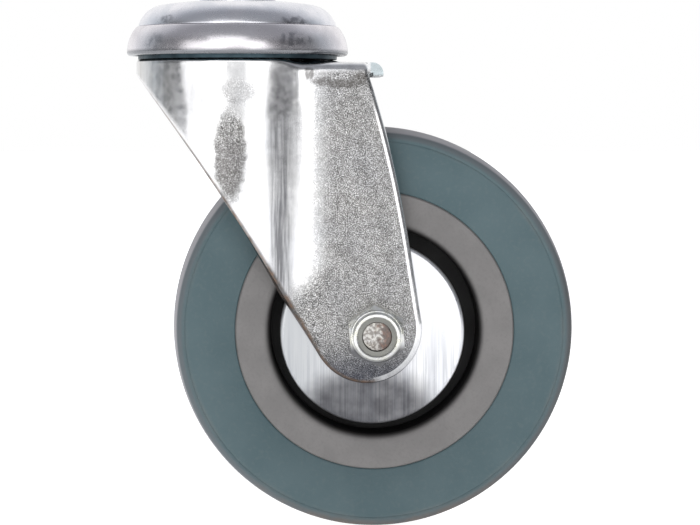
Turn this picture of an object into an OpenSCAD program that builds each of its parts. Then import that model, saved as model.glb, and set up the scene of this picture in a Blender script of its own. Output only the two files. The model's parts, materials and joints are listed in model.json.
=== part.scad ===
// Swivel castor for a gate: a rubber-tyred wheel in a pressed steel fork that
// turns on a ball race head with one bolt hole.
// Origin: centre of the bolt hole on the flat top face. +Z is up along the
// swivel axis, +X is the side that the wheel trails to, Y runs along the axle.

/* [Overall] */
// Height from the floor to the flat top face
total_h = 132; // [131:0.5:138]
// Distance from the swivel axis to the wheel axle
trail = 33.7; // [32:0.1:36]

/* [Wheel] */
// Diameter over the crown of the tread
wheel_d = 100; // [96:1:102]
// Width across the two rim faces
wheel_w = 29; // [28:0.5:29.5]
// Diameter of the line between tyre and plastic centre
rim_d = 68.6; // [67:0.2:72]
// Diameter of the recess inside the rim
recess_d = 51.2; // [49.2:0.4:52]
// Diameter of the thread guard discs
guard_d = 45.2; // [42:0.4:46.2]

/* [Fork] */
// Thickness of the pressed sheet
sheet = 2.5; // [2:0.1:2.8]
// Radius of the round crown
crown_r = 25.2; // [24.2:0.2:26]
// Distance from the middle plane to the outer face of a leg
leg_y = 20; // [19.8:0.1:20.5]
// Radius of the hollow where the crown runs into a leg
hollow_r = 20; // [12:1:24]
// Radius of the round end of a leg
leg_end_r = 13.4; // [12:0.2:14]

/* [Head] */
// Diameter of the bolt hole
bolt_hole_d = 13; // [11:0.5:13]
// Largest radius of the domed cap
cap_r = 24.85; // [24.5:0.05:25]
// Radius of the skirt ring at its lower edge
skirt_r = 27.5; // [27.4:0.1:28]
// Diameter of the swivel balls
swivel_ball_d = 4; // [3.8:0.1:4.1]
// Number of balls in the upper ring
upper_ball_n = 24; // [12:1:24]
// Number of balls in the lower ring
lower_ball_n = 18; // [10:1:18]

/* [Axle] */
// Diameter of the axle bolt
bolt_d = 8; // [6:0.5:8]
// Width across the flats of the bolt head and the nut
hex_af = 13; // [12:0.5:14]
// Number of rollers in the wheel bearing
roller_n = 10; // [6:1:10]

/* [Hidden] */
$fn = 96;
arc_n = 8;
eps = 0.01;

// Places of the main features
axle_z = wheel_d / 2 - total_h;
flange_h = 1;
cap_top = -flange_h;
cap_base = -7.3;
skirt_base = -14.5;
fork_top = -15.6;
plate_low = fork_top - sheet;
rear_drop = 0.7;
rear_top = fork_top - rear_drop;

// Clearances
ball_gap = 0.05;
groove_depth = 0.6;
roller_gap = 0.05;
bolt_gap = 0.15;
sleeve_gap = 1;

// Ball races: a ball sits in a groove of its own radius plus a gap
ball_r = swivel_ball_d / 2;
groove_r = ball_r + ball_gap;
race_rise = groove_r - groove_depth;
upper_pitch_r = 17;
lower_pitch_r = 13;
upper_ball_z = fork_top + race_rise;
lower_ball_z = plate_low - race_rise;
upper_race_low = upper_ball_z + race_rise;
upper_race_h = 2.4;
upper_race_r = 20.5;
lower_race_top = lower_ball_z - race_rise;
lower_race_h = 1.8;
lower_race_r = 17.2;
lower_rim_t = 1.5;
lower_rim_top = plate_low - 0.5;

// King sleeve
sleeve_r = 8.5;
sleeve_flange_r = 9.5;
sleeve_foot_r = 11;
sleeve_foot_h = 1.5;
sleeve_low = lower_race_top - lower_race_h - sleeve_foot_h;

// Domed cap: a flat middle, a wide dome and a tight shoulder
cap_t = 2.5;
cap_flat_r = 10;
race_collar_r = cap_flat_r - 0.3;
dome_r = 130;
shoulder_r = 7;
dome_z = cap_top - sqrt(pow(dome_r, 2) - pow(cap_flat_r, 2));
shoulder_x = cap_r - shoulder_r;
shoulder_z = dome_z + sqrt(pow(dome_r - shoulder_r, 2) - pow(shoulder_x, 2));
dome_from = acos(cap_flat_r / dome_r);
dome_to = atan2(shoulder_z - dome_z, shoulder_x);

// Skirt ring: a quarter-round wall under the cap
skirt_t = 1.5;
skirt_bow_r = 9.4;
skirt_x = skirt_r - skirt_bow_r;
skirt_z = skirt_base + 0.4;
skirt_in_r = 21.5;

// Fork: the plan outline, then the side outline
hollow_x = sqrt(pow(crown_r + hollow_r, 2) - pow(leg_y + hollow_r, 2));
leg_end_x = trail - 2.05;
leg_end_z = axle_z + 1.1;
apron_x = -24.9;
apron_z = -19.9;
front_turn = 61.5;
front_bow = -2.5;
step_from_x = 12;
step_to_x = 14;
leg_top_x = 31;
rear_turn = 7;
rear_bow = 1.5;
tongue_x = 34.1;
tongue_w = 28;
lip_r = 1.7;
fork_hole_r = sleeve_r + sleeve_gap;

// Wheel stack, as distances from the middle plane along the axle
leg_in = leg_y - sheet;
guard_t = 0.8;
guard_in = leg_in - guard_t;
guard_rim_w = 3.2;
washer_t = 1;
washer_in = guard_in - washer_t;
hub_end = washer_in - 0.2;
shell_end = hub_end - 0.2;
cage_end = 14;
roller_end = 12.5;
rim_face = wheel_w / 2;

// Wheel section
wheel_r = wheel_d / 2;
rim_r = rim_d / 2;
recess_r = recess_d / 2;
recess_lip = 2.4;
web_half = 5;
hub_r = 13;
rib_r = rim_r + 3;
rib_half = web_half;
tread_half = 12;
tread_drop = 1.1;
tread_bow_r = (pow(tread_half, 2) + pow(tread_drop, 2)) / (2 * tread_drop);
tyre_round = 2;
tread_tilt = asin(tread_half / tread_bow_r);

// Wheel bearing
tube_r = 6;
shell_in_r = 10;
shell_r = 11;
roller_pitch_r = (tube_r + shell_in_r) / 2;
roller_r = (shell_in_r - tube_r) / 2 - roller_gap;
pocket_gap = 0.15;
cage_in_r = 6.4;
cage_r = 9.6;

// Axle bolt and lock nut
bolt_r = bolt_d / 2;
bolt_end = leg_y + 6.5;
bolt_chamfer = 0.7;
head_h = 5.3;
hex_corner_r = 0.554 * hex_af;
hex_turn = 5;
nut_hex_h = 6.3;
nut_h = 8;
nut_collar_r = 5.8;
nut_mouth_r = 4.8;
insert_in_r = 3.6;
insert_r = 5;
insert_base = leg_y + 5.5;
insert_end = leg_y + 7.5;

// Points of an arc about (x, y), from angle a to angle b
function arc(x, y, r, a, b, n = arc_n) =
    [for (i = [0:n]) let (t = a + (b - a) * i / n) [x + r * cos(t), y + r * sin(t)]];

// Points of a shallow arc from p to q that bulges to the right by bow
function bowed(p, q, bow, n = arc_n) =
    let (d = q - p, l = norm(d), side = [d[1], -d[0]] / l)
    [for (i = [0:n]) let (t = i / n) p + d * t + side * bow * 4 * t * (1 - t)];

// Turns a section drawn as (radius, distance along the axle) about the axle
module about_axle() {
    translate([trail, 0, axle_z]) rotate([90, 0, 0]) rotate_extrude() children();
}

// Places a solid drawn along +Z on the axle, with +Z to the nut side
module on_axle() {
    translate([trail, 0, axle_z]) rotate([90, 0, 0]) children();
}

// Closes an outline drawn for one half of a section with its mirror image
// across the middle plane
function both_halves(half) =
    concat(half, [for (i = [len(half) - 1:-1:0]) [half[i][0], -half[i][1]]]);

// A rectangle from radius a to radius b and from height z0 to height z1
module band(a, b, z0, z1) {
    translate([a, z0]) square([b - a, z1 - z0]);
}

// ---- Head: fixed to the gate ----

module swivel_cap() {
    color([0.82, 0.80, 0.84]) rotate_extrude()
        polygon(concat(
            [[sleeve_r, cap_top]],
            arc(0, dome_z, dome_r, dome_from, dome_to),
            arc(shoulder_x, shoulder_z, shoulder_r, dome_to,
                asin((cap_base - shoulder_z) / shoulder_r)),
            arc(shoulder_x, shoulder_z, shoulder_r - cap_t,
                asin((cap_base - shoulder_z) / (shoulder_r - cap_t)), dome_to),
            arc(0, dome_z, dome_r - cap_t, dome_to, dome_from),
            [[sleeve_r, cap_top - cap_t]]));
}

module skirt_ring() {
    outer_from = asin((cap_base - skirt_z) / skirt_bow_r);
    inner_from = asin((cap_base - skirt_t - skirt_z) / (skirt_bow_r - skirt_t));
    color([0.80, 0.77, 0.80]) rotate_extrude()
        polygon(concat(
            arc(skirt_x, skirt_z, skirt_bow_r, outer_from, 0),
            [[skirt_r - 0.3, skirt_base], [skirt_r - skirt_t, skirt_base]],
            arc(skirt_x, skirt_z, skirt_bow_r - skirt_t, 0, inner_from),
            [[skirt_in_r, cap_base - skirt_t], [skirt_in_r, cap_base]]));
}

// Hollow rivet that holds the head together round the bolt hole
module king_sleeve() {
    color([0.80, 0.80, 0.82]) rotate_extrude() difference() {
        union() {
            band(0, sleeve_flange_r, cap_top, 0);
            band(0, sleeve_r, sleeve_low, cap_top);
            band(0, sleeve_foot_r, sleeve_low, sleeve_low + sleeve_foot_h);
        }
        band(0, bolt_hole_d / 2, sleeve_low - 1, 1);
    }
}

// Turned race under the cap, with a collar that sets its height
module upper_race() {
    color([0.55, 0.56, 0.58]) rotate_extrude() difference() {
        union() {
            band(sleeve_r, upper_race_r, upper_race_low, upper_race_low + upper_race_h);
            band(sleeve_r, race_collar_r, upper_race_low, cap_top - cap_t);
        }
        translate([upper_pitch_r, upper_ball_z]) circle(r = groove_r);
    }
}

// Cup that carries the lower balls
module lower_race() {
    low = lower_race_top - lower_race_h;
    color([0.72, 0.73, 0.75]) rotate_extrude() difference() {
        union() {
            band(sleeve_r, lower_race_r, low, lower_race_top);
            band(lower_race_r - lower_rim_t, lower_race_r, low, lower_rim_top);
        }
        translate([lower_pitch_r, lower_ball_z]) circle(r = groove_r);
    }
}

module ball_ring(pitch_r, z, count) {
    for (i = [0:count - 1])
        rotate([0, 0, 360 * i / count]) translate([pitch_r, 0, z]) sphere(r = ball_r, $fn = 32);
}

module upper_balls() { color([0.75, 0.76, 0.78]) ball_ring(upper_pitch_r, upper_ball_z, upper_ball_n); }
module lower_balls() { color([0.75, 0.76, 0.78]) ball_ring(lower_pitch_r, lower_ball_z, lower_ball_n); }

// ---- Fork ----

// Outline of the fork from above, moved outward by grow
module fork_plan(grow) {
    scale_k = (crown_r + grow) / (crown_r + hollow_r);
    from_x = hollow_x * scale_k;
    half_w = (leg_y + hollow_r) * scale_k;
    circle(r = crown_r + grow);
    translate([0, -leg_y - grow]) square([trail + leg_end_r - grow * 2, 2 * (leg_y + grow)]);
    difference() {
        translate([from_x, -half_w]) square([hollow_x - from_x, 2 * half_w]);
        for (side = [-1, 1])
            translate([hollow_x, side * (leg_y + hollow_r)]) circle(r = hollow_r - grow);
    }
}

// Outline of the fork from the side: a sloping, slightly hollow front edge that
// runs into the round end, and a bowed rear edge
module fork_side() {
    leg_end = [leg_end_x, leg_end_z];
    front_foot = leg_end - leg_end_r * [sin(front_turn), cos(front_turn)];
    rear_foot = leg_end + leg_end_r * [cos(rear_turn), sin(rear_turn)];
    polygon(concat(
        [[step_from_x, fork_top], [-crown_r - 1, fork_top], [-crown_r - 1, apron_z]],
        bowed([apron_x, apron_z], front_foot, front_bow),
        arc(leg_end_x, leg_end_z, leg_end_r, -90 - front_turn, rear_turn, 3 * arc_n),
        bowed(rear_foot, [leg_top_x, rear_top], rear_bow),
        [[step_to_x, rear_top]]));
}

module fork_walls() {
    depth = fork_top - leg_end_z + leg_end_r + 1;
    intersection() {
        translate([0, 0, fork_top - depth]) linear_extrude(depth) difference() {
            fork_plan(0);
            fork_plan(-sheet);
        }
        rotate([90, 0, 0]) linear_extrude(2 * crown_r + 2, center = true) fork_side();
    }
}

// Round top of the crown, and behind it a slightly lower plate with a tongue
// that ends in a rolled lip
module fork_plate() {
    translate([0, 0, plate_low]) cylinder(r = crown_r, h = sheet);
    translate([0, 0, plate_low - rear_drop]) linear_extrude(sheet) difference() {
        union() {
            intersection() {
                fork_plan(0);
                translate([step_from_x, -crown_r]) square([leg_top_x - step_from_x, 2 * crown_r]);
            }
            translate([step_from_x, -tongue_w / 2]) square([tongue_x - step_from_x, tongue_w]);
        }
        circle(r = crown_r - sheet);
    }
    translate([tongue_x, 0, rear_top - lip_r]) rotate([90, 0, 0])
        cylinder(r = lip_r, h = tongue_w, center = true);
}

module fork() {
    color([0.78, 0.78, 0.80]) difference() {
        union() {
            fork_walls();
            fork_plate();
        }
        translate([0, 0, plate_low - 5]) cylinder(r = fork_hole_r, h = 10);
        rotate_extrude() {
            translate([upper_pitch_r, upper_ball_z]) circle(r = groove_r);
            translate([lower_pitch_r, lower_ball_z]) circle(r = groove_r);
        }
        on_axle() cylinder(r = bolt_r + bolt_gap, h = 3 * leg_y, center = true);
    }
}

// ---- Axle stack: turns with the fork ----

// Hexagon prism with its corners rounded off at both ends
module hexagon(z, h) {
    bevel = hex_corner_r - hex_af / 2 + 0.3;
    intersection() {
        translate([0, 0, z]) rotate([0, 0, 90 - hex_turn])
            cylinder(r = hex_af / sqrt(3), h = h, $fn = 6);
        rotate_extrude() polygon([
            [0, z], [hex_corner_r - bevel, z], [hex_corner_r, z + bevel / 2],
            [hex_corner_r, z + h - bevel / 2], [hex_corner_r - bevel, z + h], [0, z + h]]);
    }
}

module axle_bolt() {
    color([0.72, 0.72, 0.74]) on_axle() {
        hexagon(-leg_y - head_h, head_h);
        rotate_extrude() polygon([
            [0, -leg_y - eps], [bolt_r, -leg_y - eps], [bolt_r, bolt_end - bolt_chamfer],
            [bolt_r - bolt_chamfer, bolt_end], [0, bolt_end]]);
    }
}

module lock_nut() {
    collar_round = nut_h - nut_hex_h - 0.7;
    color([0.76, 0.76, 0.78]) on_axle() difference() {
        union() {
            hexagon(leg_y, nut_hex_h);
            rotate_extrude() polygon(concat(
                [[0, leg_y + 1], [nut_collar_r, leg_y + 1]],
                arc(nut_collar_r - collar_round, leg_y + nut_h - collar_round, collar_round, 0, 90),
                [[0, leg_y + nut_h]]));
        }
        translate([0, 0, leg_y - 1]) cylinder(r = bolt_r, h = nut_h + 2);
        translate([0, 0, insert_base]) cylinder(r = insert_r, h = insert_end - insert_base);
        translate([0, 0, insert_base + 1]) cylinder(r = nut_mouth_r, h = nut_h);
    }
}

// Plastic ring inside the nut that grips the thread
module nut_insert() {
    color([0.42, 0.43, 0.42]) on_axle() rotate_extrude() difference() {
        band(insert_in_r, insert_r, insert_base, insert_end);
        band(0, bolt_r, insert_base - 1, bolt_end + 0.1);
    }
}

module axle_tube() {
    color([0.68, 0.69, 0.71]) about_axle()
        band(bolt_r + bolt_gap, tube_r, -guard_in, guard_in);
}

// Disc with a turned-in rim, drawn on the nut side of the wheel
module guard() {
    r = guard_d / 2;
    on_axle() rotate_extrude() polygon(concat(
        [[bolt_r + bolt_gap, leg_in], [bolt_r + bolt_gap, guard_in], [r - guard_t, guard_in],
         [r - guard_t, leg_in - guard_rim_w], [r, leg_in - guard_rim_w]],
        arc(r - guard_t, leg_in - guard_t, guard_t, 0, 90)));
}

module near_guard() { color([0.86, 0.87, 0.88]) guard(); }
module far_guard() { color([0.86, 0.87, 0.88]) mirror([0, 1, 0]) guard(); }

module thrust_washers() {
    color([0.90, 0.89, 0.84]) about_axle()
        for (low = [washer_in, -guard_in])
            band(tube_r + 0.1, hub_r - 0.5, low, low + washer_t);
}

// ---- Wheel ----

module tyre() {
    tread_x = wheel_r - tread_bow_r;
    corner = [tread_x + (tread_bow_r - tyre_round) * cos(tread_tilt),
              (tread_bow_r - tyre_round) * sin(tread_tilt)];
    color([0.37, 0.44, 0.47]) about_axle()
        polygon(both_halves(concat(
            [[rib_r, rib_half], [rim_r, rib_half + 1], [rim_r, rim_face]],
            arc(corner[0], corner[1], tyre_round, 90, tread_tilt),
            arc(tread_x, 0, tread_bow_r, tread_tilt, 0))));
}

// Moulded plastic centre: rim, web and hub in one piece
module wheel_centre() {
    color([0.55, 0.53, 0.52]) about_axle()
        polygon(both_halves(concat(
            [[shell_r, hub_end], [hub_r, hub_end], [hub_r, web_half], [recess_r, web_half]],
            arc(recess_r + recess_lip, rim_face - recess_lip, recess_lip, 180, 90),
            [[rim_r, rim_face], [rim_r, rib_half + 1], [rib_r, rib_half]])));
}

module bearing_shell() {
    color([0.66, 0.67, 0.69]) about_axle() band(shell_in_r, shell_r, -shell_end, shell_end);
}

// ---- Roller bearing between the shell and the axle tube ----

module roller_set(r, half_length) {
    for (i = [0:roller_n - 1])
        rotate([0, 0, 360 * i / roller_n]) translate([roller_pitch_r, 0, 0])
            cylinder(r = r, h = 2 * half_length, center = true);
}

module roller_cage() {
    color([0.88, 0.87, 0.80]) on_axle() difference() {
        cylinder(r = cage_r, h = 2 * cage_end, center = true);
        cylinder(r = cage_in_r, h = 3 * cage_end, center = true);
        roller_set(roller_r + pocket_gap, roller_end + pocket_gap);
    }
}

module rollers() { color([0.70, 0.71, 0.73]) on_axle() roller_set(roller_r, roller_end); }

swivel_cap();
skirt_ring();
king_sleeve();
upper_race();
lower_race();
upper_balls();
lower_balls();
fork();
axle_bolt();
lock_nut();
nut_insert();
axle_tube();
near_guard();
far_guard();
thrust_washers();
tyre();
wheel_centre();
bearing_shell();
roller_cage();
rollers();
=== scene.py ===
# %% [markdown]
# # A swivel castor for a gate
# The castor has three main groups: a domed head that is bolted to the gate, a pressed steel
# fork that swivels under it, and a rubber-tyred wheel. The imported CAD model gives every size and
# place, so this script loads it first and builds each visible piece round it, in metres.

# %% Load the CAD frame
import json
import math

import bpy
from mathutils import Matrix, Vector


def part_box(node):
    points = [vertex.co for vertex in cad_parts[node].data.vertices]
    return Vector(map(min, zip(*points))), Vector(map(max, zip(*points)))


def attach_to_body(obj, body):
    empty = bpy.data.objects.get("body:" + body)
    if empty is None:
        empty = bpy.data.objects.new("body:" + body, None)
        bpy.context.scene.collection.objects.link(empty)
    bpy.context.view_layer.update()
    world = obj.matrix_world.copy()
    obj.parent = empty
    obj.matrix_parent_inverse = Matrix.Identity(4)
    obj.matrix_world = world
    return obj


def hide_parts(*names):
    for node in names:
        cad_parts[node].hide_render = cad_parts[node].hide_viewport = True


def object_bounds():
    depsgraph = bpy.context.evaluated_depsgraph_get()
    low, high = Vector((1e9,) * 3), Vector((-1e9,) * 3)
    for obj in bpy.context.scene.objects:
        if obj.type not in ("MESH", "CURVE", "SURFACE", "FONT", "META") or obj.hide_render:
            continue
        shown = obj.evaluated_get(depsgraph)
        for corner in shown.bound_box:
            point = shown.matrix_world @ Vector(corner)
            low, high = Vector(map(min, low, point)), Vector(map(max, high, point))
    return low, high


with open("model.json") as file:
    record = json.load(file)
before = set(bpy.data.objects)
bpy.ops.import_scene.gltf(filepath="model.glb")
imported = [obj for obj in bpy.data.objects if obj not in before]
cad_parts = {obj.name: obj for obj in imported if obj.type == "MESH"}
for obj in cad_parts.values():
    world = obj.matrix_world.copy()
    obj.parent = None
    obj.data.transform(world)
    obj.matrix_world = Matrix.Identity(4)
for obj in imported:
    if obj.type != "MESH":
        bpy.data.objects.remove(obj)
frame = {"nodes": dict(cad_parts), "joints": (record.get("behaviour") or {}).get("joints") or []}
cad_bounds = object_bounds()
MM = 0.001
print("CAD box, mm:", [[round(c / MM, 1) for c in corner] for corner in cad_bounds])

# %% [markdown]
# ## Camera
# The castor is seen square on from the nut side, a little from above the axle. A long lens half
# a metre away keeps the perspective weak. The camera only turns, with no lens shift, so any other
# view of the same scene is framed well too.

# %% Camera
wheel_joint = next(joint for joint in frame["joints"] if joint["name"] == "wheel_spin")
AXLE = Vector(wheel_joint["pos_m"])
SENSOR_WIDTH = 36
LENS = 102.3
CAMERA_FROM_AXLE = Vector((-20.92, -500, 55.24)) * MM
CAMERA_DOWN = 4.517
CAMERA_RIGHT = 1.749
camera_data = bpy.data.cameras.new("camera")
camera_data.sensor_width = SENSOR_WIDTH
camera_data.lens = LENS
camera = bpy.data.objects.new("camera", camera_data)
bpy.context.scene.collection.objects.link(camera)
camera.location = AXLE + CAMERA_FROM_AXLE
camera.rotation_euler = (math.radians(90 - CAMERA_DOWN), 0, math.radians(-CAMERA_RIGHT))
bpy.context.scene.camera = camera
print("camera at", [round(c, 3) for c in camera.location])

# %% [markdown]
# ## Helpers for modelling by hand
# Every edit-mode operator acts on whatever is selected, and the loaded CAD parts start out
# selected. So each piece begins by deselecting everything, and later steps pick faces or edges
# by their place.

# %% Selecting and finishing
MERGE_GAP = 0.002 * MM
SOFT_BELOW = 35


def deselect_all():
    if bpy.context.object and bpy.context.object.mode != "OBJECT":
        bpy.ops.object.mode_set(mode="OBJECT")
    bpy.ops.object.select_all(action="DESELECT")


def make_active(piece):
    deselect_all()
    piece.select_set(True)
    bpy.context.view_layer.objects.active = piece


def into_scene(name, data):
    """Makes an object from a mesh, light or camera."""
    item = bpy.data.objects.new(name, data)
    bpy.context.scene.collection.objects.link(item)
    return item


def set_origin(piece):
    """Puts the object at the world's origin, with its place in its mesh."""
    make_active(piece)
    bpy.ops.object.transform_apply(location=True, rotation=True, scale=True)


def edit_all():
    """Edit mode, with the whole mesh selected."""
    bpy.ops.object.mode_set(mode="EDIT")
    bpy.ops.mesh.select_all(action="SELECT")


def merge_and_face_out():
    """In edit mode: closes seams and poles, then turns every face outwards."""
    bpy.ops.mesh.select_all(action="SELECT")
    bpy.ops.mesh.remove_doubles(threshold=MERGE_GAP)
    bpy.ops.mesh.normals_make_consistent(inside=False)


def shade(piece, sharp):
    """Smooth shading, with edges that turn more than an angle kept crisp."""
    make_active(piece)
    bpy.ops.object.shade_smooth_by_angle(angle=math.radians(sharp))


def attach(piece, body, slot, *nodes, sharp=SOFT_BELOW):
    """Shades a finished piece, and lets it stand for its CAD nodes and move with their body."""
    shade(piece, sharp)
    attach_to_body(piece, body)
    if nodes:
        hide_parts(*nodes)
    triangles = sum(len(face.vertices) - 2 for face in piece.data.polygons)
    print(f"{piece.name}: {triangles} triangles, on {body}")


def apply_boolean(piece, tool, operation):
    """Cuts, joins or keeps the common part of two solids, and removes the tool."""
    make_active(piece)
    modifier = piece.modifiers.new(operation.lower(), "BOOLEAN")
    modifier.operation = operation
    modifier.solver = "EXACT"
    modifier.object = tool
    bpy.ops.object.modifier_apply(modifier=modifier.name)
    bpy.data.objects.remove(tool)


# %% [markdown]
# ## Turned pieces
# The cap, the ring, the wheel and the thread guards are all round. On a lathe, or in a press, each
# is one section turned about an axis. Here the section is drawn as a chain of points, each one
# extruded from the last, and then spun through a full turn. Corners that are too crisp for a real
# edge are selected by their angle and bevelled. Pieces that touch are kept a hair or a little play
# apart, so that no two faces lie in the same place.

# %% Drawing a section and spinning it
FULL_TURN = 2 * math.pi
CRISP_EDGE = 32
BEVEL_SEGMENTS = 3
HAIR = 0.02
PLAY = 0.05


def arc_points(centre, radius, start, end, steps=8):
    """(radius, height) pairs in mm along an arc of a section, with angles in degrees."""
    angles = [math.radians(start + (end - start) * i / steps) for i in range(steps + 1)]
    return [(centre[0] + radius * math.cos(a), centre[1] + radius * math.sin(a)) for a in angles]


def section_place(point, about_axle):
    """A section's (radius, height) in mm as a place. On the axle, height runs to the nut side."""
    radius, height = point[0] * MM, point[1] * MM
    if about_axle:
        return Vector((AXLE.x + radius, -height, AXLE.z))
    return Vector((radius, 0, height))


def turned(name, section, about_axle=False, steps=128, edge_round=0.0):
    """Spins a closed section, given as (radius, height) pairs in mm, into a solid."""
    places = [section_place(point, about_axle) for point in section]
    deselect_all()
    bpy.ops.mesh.primitive_plane_add(size=MM, location=places[0])
    piece = bpy.context.object
    piece.name = name
    set_origin(piece)
    edit_all()
    bpy.ops.mesh.merge(type="CENTER")
    for here, there in zip(places, places[1:] + places[:1]):
        bpy.ops.mesh.extrude_vertices_move(TRANSFORM_OT_translate={"value": there - here})
    bpy.ops.mesh.select_all(action="SELECT")
    bpy.ops.mesh.remove_doubles(threshold=MERGE_GAP)
    centre = AXLE if about_axle else Vector((0, 0, 0))
    axis = (0, 1, 0) if about_axle else (0, 0, 1)
    bpy.ops.mesh.spin(steps=steps, angle=FULL_TURN, center=centre, axis=axis)
    merge_and_face_out()
    if edge_round:
        bpy.ops.mesh.select_mode(type="EDGE")
        bpy.ops.mesh.select_all(action="DESELECT")
        bpy.ops.mesh.edges_select_sharp(sharpness=math.radians(CRISP_EDGE))
        bpy.ops.mesh.bevel(offset=edge_round * MM, segments=BEVEL_SEGMENTS, affect="EDGES")
        bpy.ops.mesh.select_mode(type="VERT")
    bpy.ops.object.mode_set(mode="OBJECT")
    return piece


# %% [markdown]
# ## The domed cap
# The cap is drawn from sheet: a nearly flat top, a wide dome and a tight shoulder that drops
# steeply to the ring below. Its lower edge meets the ring in a narrow groove. The section follows
# the outer face down and comes back along the inner face, so the cap is hollow like the real one.

# %% Cap
cap_low, cap_high = (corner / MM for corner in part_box("swivel_cap"))
CAP_SWELL = 0.2
CAP_R = cap_high.x + CAP_SWELL
CAP_TOP = cap_high.z
CAP_BASE = cap_low.z
SHEET_T = 2.5
SLEEVE_R = 8.55
CAP_FLAT_R = 10
DOME_R = 130
SHOULDER_R = 7
dome_z = CAP_TOP - math.sqrt(DOME_R ** 2 - CAP_FLAT_R ** 2)
shoulder_x = CAP_R - SHOULDER_R
shoulder_z = dome_z + math.sqrt((DOME_R - SHOULDER_R) ** 2 - shoulder_x ** 2)
dome_from = math.degrees(math.acos(CAP_FLAT_R / DOME_R))
dome_to = math.degrees(math.atan2(shoulder_z - dome_z, shoulder_x))


def shoulder_end(radius, low):
    """The angle at which a shoulder arc reaches a height."""
    return math.degrees(math.asin((low - shoulder_z) / radius))


cap_section = (
    [(SLEEVE_R, CAP_TOP)]
    + arc_points((0, dome_z), DOME_R, dome_from, dome_to, 6)
    + arc_points((shoulder_x, shoulder_z), SHOULDER_R,
                 dome_to, shoulder_end(SHOULDER_R, CAP_BASE), 16)[1:]
    + arc_points((shoulder_x, shoulder_z), SHOULDER_R - SHEET_T,
                 shoulder_end(SHOULDER_R - SHEET_T, CAP_BASE), dome_to, 8)
    + arc_points((0, dome_z), DOME_R - SHEET_T, dome_to, dome_from, 4)[1:]
    + [(SLEEVE_R, CAP_TOP - SHEET_T)]
)
cap = turned("cap", cap_section, edge_round=0.25)
attach(cap, "head", "cap_zinc", "swivel_cap")

# %% [markdown]
# ## The skirt ring
# The ring under the cap is a second pressing. Its wall swells in a quarter round and turns in at
# the bottom, and from the side it reads as a soft step below the cap.

# %% Ring
ring_low, ring_high = (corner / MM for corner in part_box("skirt_ring"))
RING_R = ring_high.x
RING_BASE = ring_low.z
RING_T = 1.5
RING_BOW_R = 9.4
RING_IN_R = 21.5
RING_WIDEST = 0.9
RING_CURL_R = 0.8
ring_x = RING_R - RING_BOW_R
ring_z = RING_BASE + RING_WIDEST


def ring_angle(radius, z):
    """The angle at which the ring's bow reaches a height."""
    return math.degrees(math.asin((z - ring_z) / radius))


ring_section = (
    arc_points((ring_x, ring_z), RING_BOW_R, ring_angle(RING_BOW_R, CAP_BASE - PLAY), 0, 14)
    + arc_points((RING_R - RING_CURL_R, RING_BASE + RING_CURL_R), RING_CURL_R, 0, -90, 5)
    + [(RING_R - RING_T, RING_BASE)]
    + arc_points((ring_x, ring_z), RING_BOW_R - RING_T, 0,
                 ring_angle(RING_BOW_R - RING_T, CAP_BASE - RING_T), 10)
    + [(RING_IN_R, CAP_BASE - RING_T), (RING_IN_R, CAP_BASE - PLAY)]
)
ring = turned("ring", ring_section, edge_round=0.2)
attach(ring, "head", "ring_zinc", "skirt_ring")

# %% [markdown]
# ## A dark ring in the gap
# Between the ring and the fork there is a narrow gap that lies in shade. A thin near-black ring that
# hangs just inside the skirt closes the gap as painted shade, so no light from behind shows through it.

# %% Dark ring of painted shade in the gap
SHADE_RING_OUT_R = 24.75
SHADE_RING_IN_R = 24.1
SHADE_RING_HANGS = 0.9
SHADE_RING_UNDER = RING_BASE + 0.9
SHADE_RING_SHOULDER = RING_BASE + 1.1
SHADE_RING_TOP = RING_BASE + 1.7
SHADE_RING_END = RING_BASE - SHADE_RING_HANGS
ring_wall_r = RING_R - RING_T - 2 * PLAY
shade_ring_section = [
    (ring_wall_r, SHADE_RING_SHOULDER), (SHADE_RING_OUT_R, SHADE_RING_UNDER), (SHADE_RING_OUT_R, SHADE_RING_END),
    (SHADE_RING_IN_R, SHADE_RING_END), (SHADE_RING_IN_R, SHADE_RING_TOP), (ring_wall_r, SHADE_RING_TOP),
]
# A near-black ring that stands for the shade in the gap: painted shade.
gap_shade_ring = turned("gap_shade_ring", shade_ring_section)
attach(gap_shade_ring, "head", "race_steel")

# %% [markdown]
# ## The king sleeve
# One hollow rivet holds the head together, and the bolt to the gate passes through it. Its upper
# flange is the face that meets the gate, and its foot is swaged over below the lower race.

# %% Sleeve
sleeve_low, sleeve_high = (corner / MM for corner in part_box("king_sleeve"))
BOLT_HOLE_R = 6.5
FLANGE_R = 9.5
FOOT_R = sleeve_high.x
FOOT_TOP = sleeve_low.z + 1.5
TUBE_R = SLEEVE_R - PLAY
sleeve_section = [
    (BOLT_HOLE_R, 0), (FLANGE_R, 0), (FLANGE_R, CAP_TOP + HAIR), (TUBE_R, CAP_TOP + HAIR),
    (TUBE_R, FOOT_TOP), (FOOT_R, FOOT_TOP), (FOOT_R, sleeve_low.z), (BOLT_HOLE_R, sleeve_low.z),
]
sleeve = turned("sleeve", sleeve_section, steps=96, edge_round=0.3)
attach(sleeve, "head", "ring_zinc", "king_sleeve")

# %% [markdown]
# ## The wheel
# The tyre is solid rubber, moulded on a grey plastic centre. Its tread is slightly crowned, its
# shoulders are round, and a fine moulding line runs round each side wall. The centre has a flat
# rim face, a rolled lip and a deep dark recess that the bearing sits in.

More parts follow.
